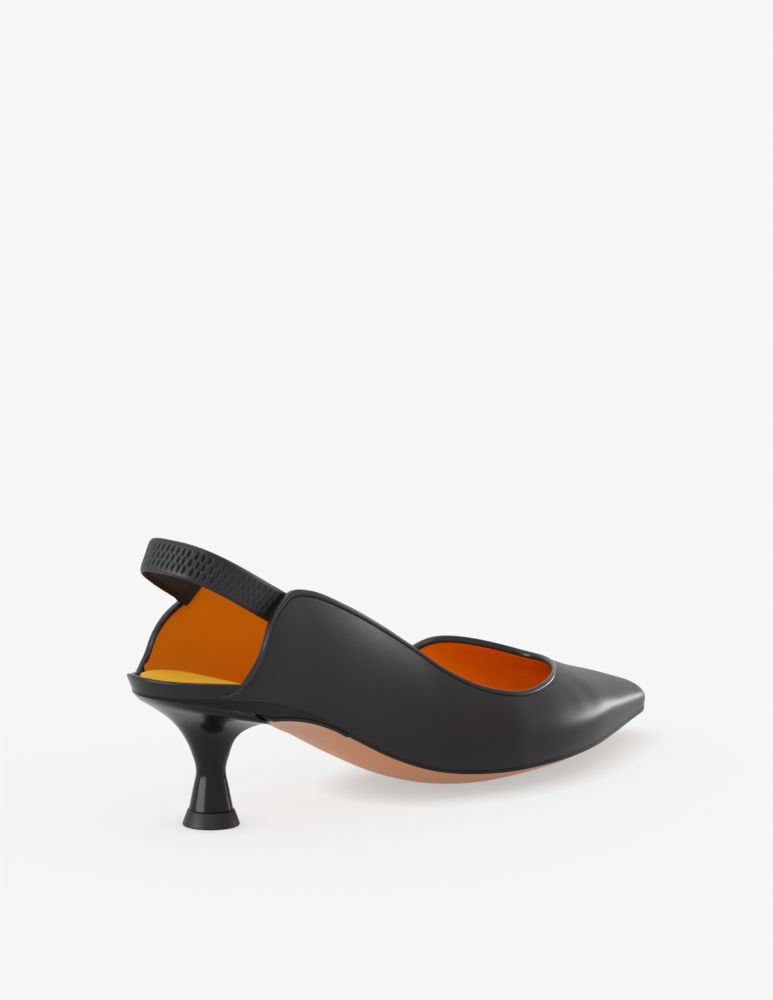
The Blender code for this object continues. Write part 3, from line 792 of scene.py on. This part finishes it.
def fine_plate(name, shares, inset, top, bottom, columns, materials, painted="", sharp=35.0):
    """A slab on the feather line's plan. Its edge and its painted face, top or bottom, have the
    second material."""
    across = np.sin(np.linspace(-1, 1, columns) * math.pi / 2)
    middle = TOE_SWING * last_value("swing", shares)
    inset = inset + np.zeros_like(shares)
    lateral = plan_half(shares, -1, inset)
    medial = plan_half(shares, 1, inset)
    rings = []
    for i, share in enumerate(shares):
        x = share * LENGTH - SEAT_BACK
        y = middle[i] + np.where(across < 0, across * lateral[i], across * medial[i])
        upper = [(x, y[k], float(top(share, across[k]))) for k in range(columns)]
        lower = [(x, y[k], float(bottom(share, across[k]))) for k in reversed(range(columns))]
        rings.append(np.array(upper + lower))
    ring = 2 * columns
    faces, slots = [], []
    for i in range(len(rings) - 1):
        for j in range(ring):
            k = (j + 1) % ring
            here, there = i * ring, (i + 1) * ring
            faces.append((here + j, there + j, there + k, here + k))
            on_top, on_edge = j < columns - 1, j in (columns - 1, ring - 1)
            slots.append(int(painted != "" and (on_edge or on_top == (painted == "top"))))
    last = (len(rings) - 1) * ring
    for k in range(columns - 1):
        faces.append((k, k + 1, ring - 2 - k, ring - 1 - k))
        faces.append((last + k, last + ring - 1 - k, last + ring - 2 - k, last + k + 1))
        slots += [int(painted != "")] * 2
    return add_mesh(name, np.concatenate(rings), faces, materials, slots, sharp)


def build_insole(sock, paint):
    """The sock on its board, padded at the seat."""
    inset = max(WALL, RIM_WALL) + GAP * 1.5
    start = (inset + SEAT_DRAW + GAP) / LENGTH
    shares = end_spaced(start, 1 - (inset + INSOLE) / LENGTH, 120, True, True)

    def bottom(share, across):
        return feather_height(share) - camber_drop(share, across)

    def top(share, across):
        edge = 0.0005 * max(0.0, abs(across) - 0.9) / 0.1
        pad = (insole_thickness(share) - INSOLE) * SOCK_PAD / SEAT_PAD
        return bottom(share, across) + INSOLE + pad - edge

    drawn = inset + seat_draw(shares)
    return fine_plate("insole_sock", shares, drawn, top, bottom, 33, [sock, paint], "bottom")


def build_outsole(tan, paint):
    """The sole, with a painted root that wedges in under the heel's breast."""
    front = end_spaced(lip_shares()[-1], 1 - 0.0004 / LENGTH, 130, False, True)
    shares = np.concatenate([lip_shares()[:-1], front])
    root = np.linspace(shares[0] - SOLE_ROOT / LENGTH, shares[0], 12)[:-1]
    shares = np.concatenate([root, shares])

    def bottom(share, across):
        whole = np.clip((share - root[0]) * LENGTH / SOLE_ROOT, 0.02, 1)
        top = sole_top(share, across)
        return top + (sole_bottom(share, across) - top) * whole

    sole = fine_plate(
        "outsole_leather", shares, 0.0, sole_top, bottom, SOLE_COLUMNS, [tan, paint], "top", 30)
    for face in sole.data.polygons[:(len(root) - 2) * 2 * SOLE_COLUMNS]:
        face.material_index = 1
    return sole


def rounded_rings(rings, steps):
    """More rings between the given ones, on smooth curves through their points."""
    rings = np.array(rings)
    key = np.arange(len(rings))
    fine = np.linspace(0, len(rings) - 1, (len(rings) - 1) * steps + 1)
    slope = np.gradient(rings, axis=0)
    i = np.clip(fine.astype(int), 0, len(rings) - 2)
    t = (fine - key[i])[:, None, None]
    start = (1 + 2 * t) * (1 - t) ** 2 * rings[i] + t * (1 - t) ** 2 * slope[i]
    return start + t * t * (3 - 2 * t) * rings[i + 1] + t * t * (t - 1) * slope[i + 1]


def build_heel(gloss):
    """The heel's stem, and the lip that carries the seat and thins out along the shank."""
    count = 120
    breast_share = (SEAT_BACK + BREAST) / LENGTH
    seat_height = float(feather_height(0.0))
    seat_half = LATERAL_BALL * float(last_value("lateral", breast_share))
    rings = [stem_top_ring(count, 1.0)]
    size = len(rings[0])
    for row in HEEL_TABLE:
        scale = (seat_height, seat_height, SEAT_BACK, BREAST, BREAST, seat_half)
        rings.append(heel_section([share * whole for share, whole in zip(row, scale)], size))
    between = HEEL_WAIST + (HEEL_FOOT - HEEL_WAIST) * 0.45
    waist, foot = (0.385 * seat_height, HEEL_WAIST), (TIP_HEIGHT + GAP, HEEL_FOOT)
    for height, radius in (waist, (0.255 * seat_height, between), foot):
        rings.append(heel_section((height, height, radius, 0.0, radius, radius), size))
    rings = list(rounded_rings(rings, 7))
    rings = [np.array(stem_top_ring(count, 0.6))] + rings
    stem_piece = tube("heel_stem", rings[::-1], [gloss], 50)
    seat = end_spaced((SEAT_DRAW + GAP) / LENGTH, lip_shares()[0], 60, True, False)
    front = np.linspace(lip_shares()[0], lip_shares()[-1], 40)
    shares = np.concatenate([seat[:-1], front])

    def top(share, across):
        return feather_height(share) - GAP

    lip = fine_plate("heel_lip", shares, seat_draw(shares) + 0.0002, top, lip_bottom, 31, [gloss])
    return stem_piece, lip


def build_tip(rubber):
    """The round top piece, its rims eased."""
    turn = np.linspace(0, 2 * math.pi, 97)[:-1]
    radius_top = TIP_RADIUS - TIP_TAPER
    profile = (
        (0.0, 0.0), (TIP_RADIUS - 0.0006, 0.0), (TIP_RADIUS - 0.0002, 0.0001), (TIP_RADIUS, 0.0005),
        (radius_top + 0.0001, TIP_HEIGHT - 0.0004), (radius_top - 0.0001, TIP_HEIGHT - 0.0001),
        (radius_top - 0.0004, TIP_HEIGHT), (0.0, TIP_HEIGHT),
    )
    rings = []
    for radius, height in profile:
        radius = max(radius, 1e-5)
        rings.append(np.array([(radius * math.cos(a), radius * math.sin(a), height) for a in turn]))
    return tube("heel_top_piece", rings, [rubber], 40)


def rim_height(share, side):
    """The wrap stands lower on the far side, where the quarter's foot covers it."""
    if side < 0:
        return RIM_HEIGHT
    ease = min(1.0, share / FAR_RIM_FALL)
    return RIM_HEIGHT * (1 - (1 - FAR_RIM_SHARE) * ease * ease * (3 - 2 * ease))


def build_rim(wrap):
    """The seat's leather wrap, its top edge rolled."""
    end = RIM_REACH / LENGTH
    reach = np.sin(np.linspace(0, 1, 61) * math.pi / 2)
    near_end, far_end = end + RIM_TUCK / LENGTH, end - FAR_RIM_GAP / LENGTH
    path = [(near_end * (1 - k), -1) for k in reach[:-1]] + [(0.0, 1)]
    path += [(far_end * (1 - k), 1) for k in reach[-2::-1]]
    rings = []
    for share, side in path:
        foot = last_point(share, 0.0, side)
        foot[2] -= CLOSING
        tall = rim_height(share, side)
        fade = max(0.0, 1 - (share / end) ** 2)
        outer, inner = [], []
        for height in np.linspace(0, 1, 14):
            point = last_point(share, 0.15 * height * tall / BELLY, side)
            out = point[:2] - (SEAT_CENTRE, 0.0)
            out = out / np.linalg.norm(out)
            over = max(0.0, (height - ROLL_START) / (1 - ROLL_START))
            ease = 1 - math.sqrt(max(0.0, 1 - over ** 2))
            flare = RIM_FLARE * height * tall / RIM_HEIGHT * fade
            point[:2] += out * (flare - float(seat_draw(share)))
            point[2] = foot[2] + tall * height
            behind = point.copy()
            behind[:2] -= out * (RIM_WALL - RIM_ROLL * ease)
            point[:2] -= out * RIM_ROLL * ease
            outer.append(point)
            inner.append(behind)
        rings.append(np.array(outer + inner[::-1]))
    return tube("seat_wrap", rings[::-1], [wrap], 60)


def area_light(name, place, aim, wide, tall, radiance, lit):
    """A soft box that lights the shoe and leaves the floor to the even light of the room."""
    lamp = bpy.data.lights.new(name, "AREA")
    lamp.shape = "RECTANGLE"
    lamp.size = wide
    lamp.size_y = tall
    lamp.energy = radiance * math.pi * wide * tall
    item = bpy.data.objects.new(name, lamp)
    item.location = place
    item.rotation_euler = (Vector(aim) - Vector(place)).to_track_quat("-Z", "Y").to_euler()
    item.light_linking.receiver_collection = lit
    bpy.context.scene.collection.objects.link(item)


def build_floor():
    """A plain pale floor that glows evenly, with a painted shadow darkening its glow close to the
    shoe.
    """
    size = FLOOR_SIZE
    corners = [(-size, -size, 0), (size, -size, 0), (size, size, 0), (-size, size, 0)]
    mesh = bpy.data.meshes.new("floor")
    mesh.from_pydata(corners, [], [(0, 1, 2, 3)])
    made, tree, shader = material("paper_floor")
    shader.inputs["Base Color"].default_value = (FLOOR_TONE, FLOOR_TONE, FLOOR_TONE, 1.0)
    shader.inputs["Emission Color"].default_value = (1.0, 1.0, 1.0, 1.0)
    shader.inputs["Emission Strength"].default_value = FLOOR_GLOW
    shader.inputs["Roughness"].default_value = 0.95
    shader.inputs["Specular IOR Level"].default_value = 0.0
    # painted shadow: ambient occlusion darkens the floor's glow near the shoe
    near = tree.nodes.new("ShaderNodeAmbientOcclusion")
    near.inputs["Distance"].default_value = SHADOW_REACH
    near.samples = 8
    eased = tree.nodes.new("ShaderNodeMapRange")
    eased.inputs["To Min"].default_value = SHADOW_LEAST
    tree.links.new(near.outputs["AO"], eased.inputs["Value"])
    tree.links.new(eased.outputs["Result"], shader.inputs["Emission Color"])
    mesh.materials.append(made)
    floor = bpy.data.objects.new("floor", mesh)
    bpy.context.scene.collection.objects.link(floor)
    return floor


def build_world(strength):
    """Even white light from all round."""
    world = bpy.data.worlds.new("studio")
    world.use_nodes = True
    background = world.node_tree.nodes["Background"]
    background.inputs["Color"].default_value = (1.0, 1.0, 1.0, 1.0)
    background.inputs["Strength"].default_value = strength
    bpy.context.scene.world = world


def build_camera():
    """The camera stands behind the heel on the outer side and looks from a little above."""
    turn, pitch = CAMERA_TURN, CAMERA_PITCH
    level = math.cos(pitch)
    look = Vector((math.cos(turn) * level, math.sin(turn) * level, -math.sin(pitch)))
    lens = bpy.data.cameras.new("camera")
    lens.sensor_fit = "AUTO"
    lens.sensor_width = CAMERA_SENSOR
    lens.lens = CAMERA_LENS
    lens.clip_start = 0.05
    lens.clip_end = 60.0
    camera = bpy.data.objects.new("camera", lens)
    camera.location = CAMERA_PLACE
    camera.rotation_euler = look.to_track_quat("-Z", "Y").to_euler()
    bpy.context.scene.collection.objects.link(camera)
    bpy.context.scene.camera = camera


def attach(piece, node):
    """The piece stands for a node of the part and moves with it."""
    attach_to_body(piece, "root")
    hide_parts(node)


def main():
    skin = leather("nappa_black", (0.0125, 0.0090, 0.0108), 0.38, 0.05, specular=0.21)
    lining = leather("lining_orange", (0.60, 0.145, 0.0), 0.70, 0.03, specular=0.05)
    # painted light: the lining is painted brighter toward the vamp
    paint_lining_light(lining, (0.60, 0.155, 0.0), (0.98, 0.27, 0.0))
    edge = leather("binding_black", (0.0095, 0.0085, 0.0090), 0.27, 0.04, specular=0.34)
    cloth = leather("strap_black", (0.0105, 0.0090, 0.0095), 0.42, 0.06, specular=0.30)
    inside = leather("strap_brown", (0.016, 0.010, 0.006), 0.60, 0.06, specular=0.10)
    wrap = leather("wrap_black", (0.0085, 0.0080, 0.0080), 0.26, 0.03, specular=0.25)
    gloss = leather("heel_gloss", (0.0045, 0.0042, 0.0042), 0.17, 0.0, specular=0.20)
    rubber = leather("top_piece_rubber", (0.010, 0.0095, 0.0095), 0.40, 0.05)
    sock = leather("sock_amber", (0.50, 0.26, 0.008), 0.60, 0.03, specular=0.10)
    tan = leather("sole_tan", (0.45, 0.165, 0.048), 0.36, 0.03, 900.0, specular=0.14)
    paint = leather("edge_paint", (0.004, 0.004, 0.004), 0.35, 0.0)
    attach(build_upper(skin, lining), "upper")
    attach(build_binding(edge), "binding")
    attach(build_strap(cloth, inside), "sling_strap")
    attach(build_insole(sock, paint), "insole")
    attach(build_outsole(tan, paint), "outsole")
    for piece in build_heel(gloss):
        attach(piece, "heel")
    attach(build_tip(rubber), "heel_tip")
    attach(build_rim(wrap), "seat_rim")
    lit = bpy.data.collections.new("lit_by_lamps")
    for piece in bpy.context.scene.objects:
        if piece.type == "MESH":
            lit.objects.link(piece)
    build_floor()
    build_world(WORLD)
    for lamp in LAMPS:
        area_light(*lamp, lit)
    build_camera()
    scene = bpy.context.scene
    scene.view_settings.view_transform = "Standard"


main()
